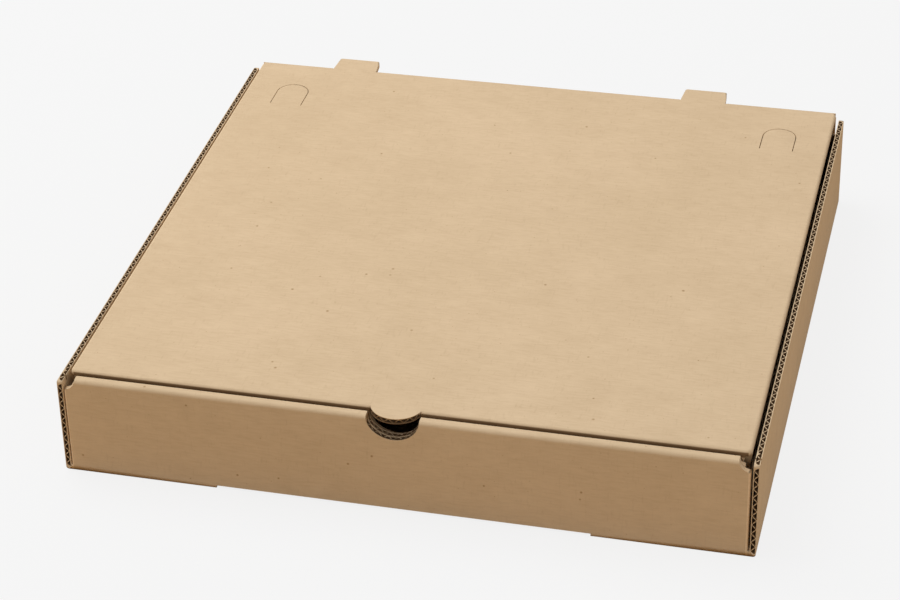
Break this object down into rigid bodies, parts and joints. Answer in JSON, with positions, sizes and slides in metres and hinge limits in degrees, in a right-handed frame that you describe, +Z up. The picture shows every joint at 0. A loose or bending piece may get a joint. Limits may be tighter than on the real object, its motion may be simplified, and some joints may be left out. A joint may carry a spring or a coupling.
{
  "type": "pizza box",
  "caption": "Square, shallow pizza box folded from one sheet of brown corrugated board, with a hinged tuck-in lid, a thumb notch, rear tabs and vent flaps.",
  "frame": {"origin": "centre of the tray's underside, on the surface the box stands on", "axes": "+X to the right seen from the front, +Y from the front wall to the back wall, +Z up"},
  "size_m": [0.361, 0.371, 0.0578],
  "materials": {
    "kraft_board": "matt brown kraft liner on both faces, raw fluted edges"
  },
  "bodies": {
    "tray": {"tray": "kraft_board"},
    "lid": {"lid": "kraft_board"},
    "vent_flap_left": {"vent_flap_left": "kraft_board"},
    "vent_flap_right": {"vent_flap_right": "kraft_board"}
  },
  "joints": [
    {"name": "lid_hinge", "type": "hinge", "parent": "tray", "child": "lid", "pos_m": [0, 0.1785, 0.0578], "axis": [-1, 0, 0], "range_deg": [0, 180]},
    {"name": "vent_left_fold", "type": "hinge", "parent": "lid", "child": "vent_flap_left", "pos_m": [-0.1468, 0.1275, 0.0548], "axis": [-1, 0, 0], "range_deg": [0, 60]},
    {"name": "vent_right_fold", "type": "hinge", "parent": "lid", "child": "vent_flap_right", "pos_m": [0.1468, 0.1275, 0.0548], "axis": [-1, 0, 0], "range_deg": [0, 60]}
  ]
}
